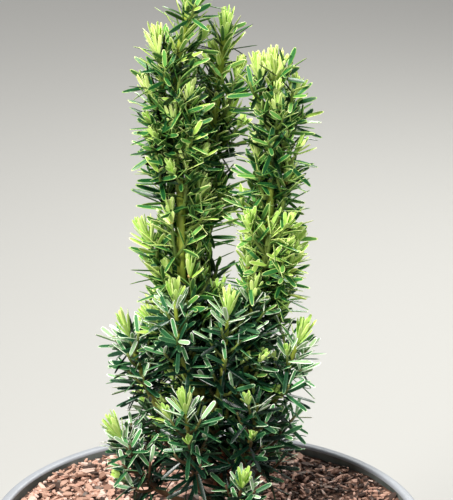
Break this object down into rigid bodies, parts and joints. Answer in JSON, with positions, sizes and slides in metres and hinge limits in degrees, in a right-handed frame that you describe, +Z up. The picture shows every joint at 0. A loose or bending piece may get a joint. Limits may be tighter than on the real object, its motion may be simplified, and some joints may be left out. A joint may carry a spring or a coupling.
{
  "type": "potted upright yew",
  "caption": "Young upright yew with narrow columns of needled shoots on slim stems, growing in a round grey nursery pot topped with bark mulch.",
  "frame": {"origin": "middle of the pot's flat underside", "axes": "+Z up, the front of the plant towards -Y, +X to the right seen from the front"},
  "size_m": [0.26, 0.26, 0.5498],
  "materials": {
    "pot_plastic": "matt grey moulded plastic",
    "bark_mulch": "dry bark chips over compost",
    "brown_wood": "brown-red flaking bark",
    "green_wood": "smooth yellow-green young bark",
    "needles": "dark green needles with pale margins",
    "new_growth": "lime-yellow young needles"
  },
  "bodies": {
    "root": {"bough_left": "green_wood", "bough_low_front": "green_wood", "bough_low_left": "green_wood", "bough_low_rear": "green_wood", "bough_low_right": "green_wood", "bough_rear_left": "green_wood", "bough_rear_right": "green_wood", "bough_right": "green_wood", "foliage_front_centre": "needles", "foliage_front_left": "needles", "foliage_front_right": "needles", "foliage_left": "needles", "foliage_low_centre": "needles", "foliage_low_front": "needles", "foliage_low_front_right": "needles", "foliage_low_left": "needles", "foliage_low_rear": "needles", "foliage_low_right": "needles", "foliage_rear_left": "needles", "foliage_rear_right": "needles", "foliage_right": "needles", "foliage_stem_left_01": "needles", "foliage_stem_left_02": "needles", "foliage_stem_left_03": "needles", "foliage_stem_left_04": "needles", "foliage_stem_left_05": "needles", "foliage_stem_left_06": "needles", "foliage_stem_left_07": "needles", "foliage_stem_left_08": "needles", "foliage_stem_left_09": "needles", "foliage_stem_left_10": "needles", "foliage_stem_left_11": "needles", "foliage_stem_left_rear_01": "needles", "foliage_stem_left_rear_02": "needles", "foliage_stem_left_rear_03": "needles", "foliage_stem_left_rear_04": "needles", "foliage_stem_left_rear_05": "needles", "foliage_stem_left_rear_06": "needles", "foliage_stem_left_rear_07": "needles", "foliage_stem_left_rear_tip": "new_growth", "foliage_stem_left_tip": "new_growth", "foliage_stem_right_01": "needles", "foliage_stem_right_02": "needles", "foliage_stem_right_03": "needles", "foliage_stem_right_04": "needles", "foliage_stem_right_05": "needles", "foliage_stem_right_06": "needles", "foliage_stem_right_07": "needles", "foliage_stem_right_08": "needles", "foliage_stem_right_09": "needles", "foliage_stem_right_10": "needles", "foliage_stem_right_11": "needles", "foliage_stem_right_12": "needles", "foliage_stem_right_tip": "new_growth", "pot": "pot_plastic", "potting_mix": "bark_mulch", "stem_left": "green_wood", "stem_left_rear": "green_wood", "stem_right": "green_wood", "trunk": "brown_wood"}
  },
  "joints": []
}
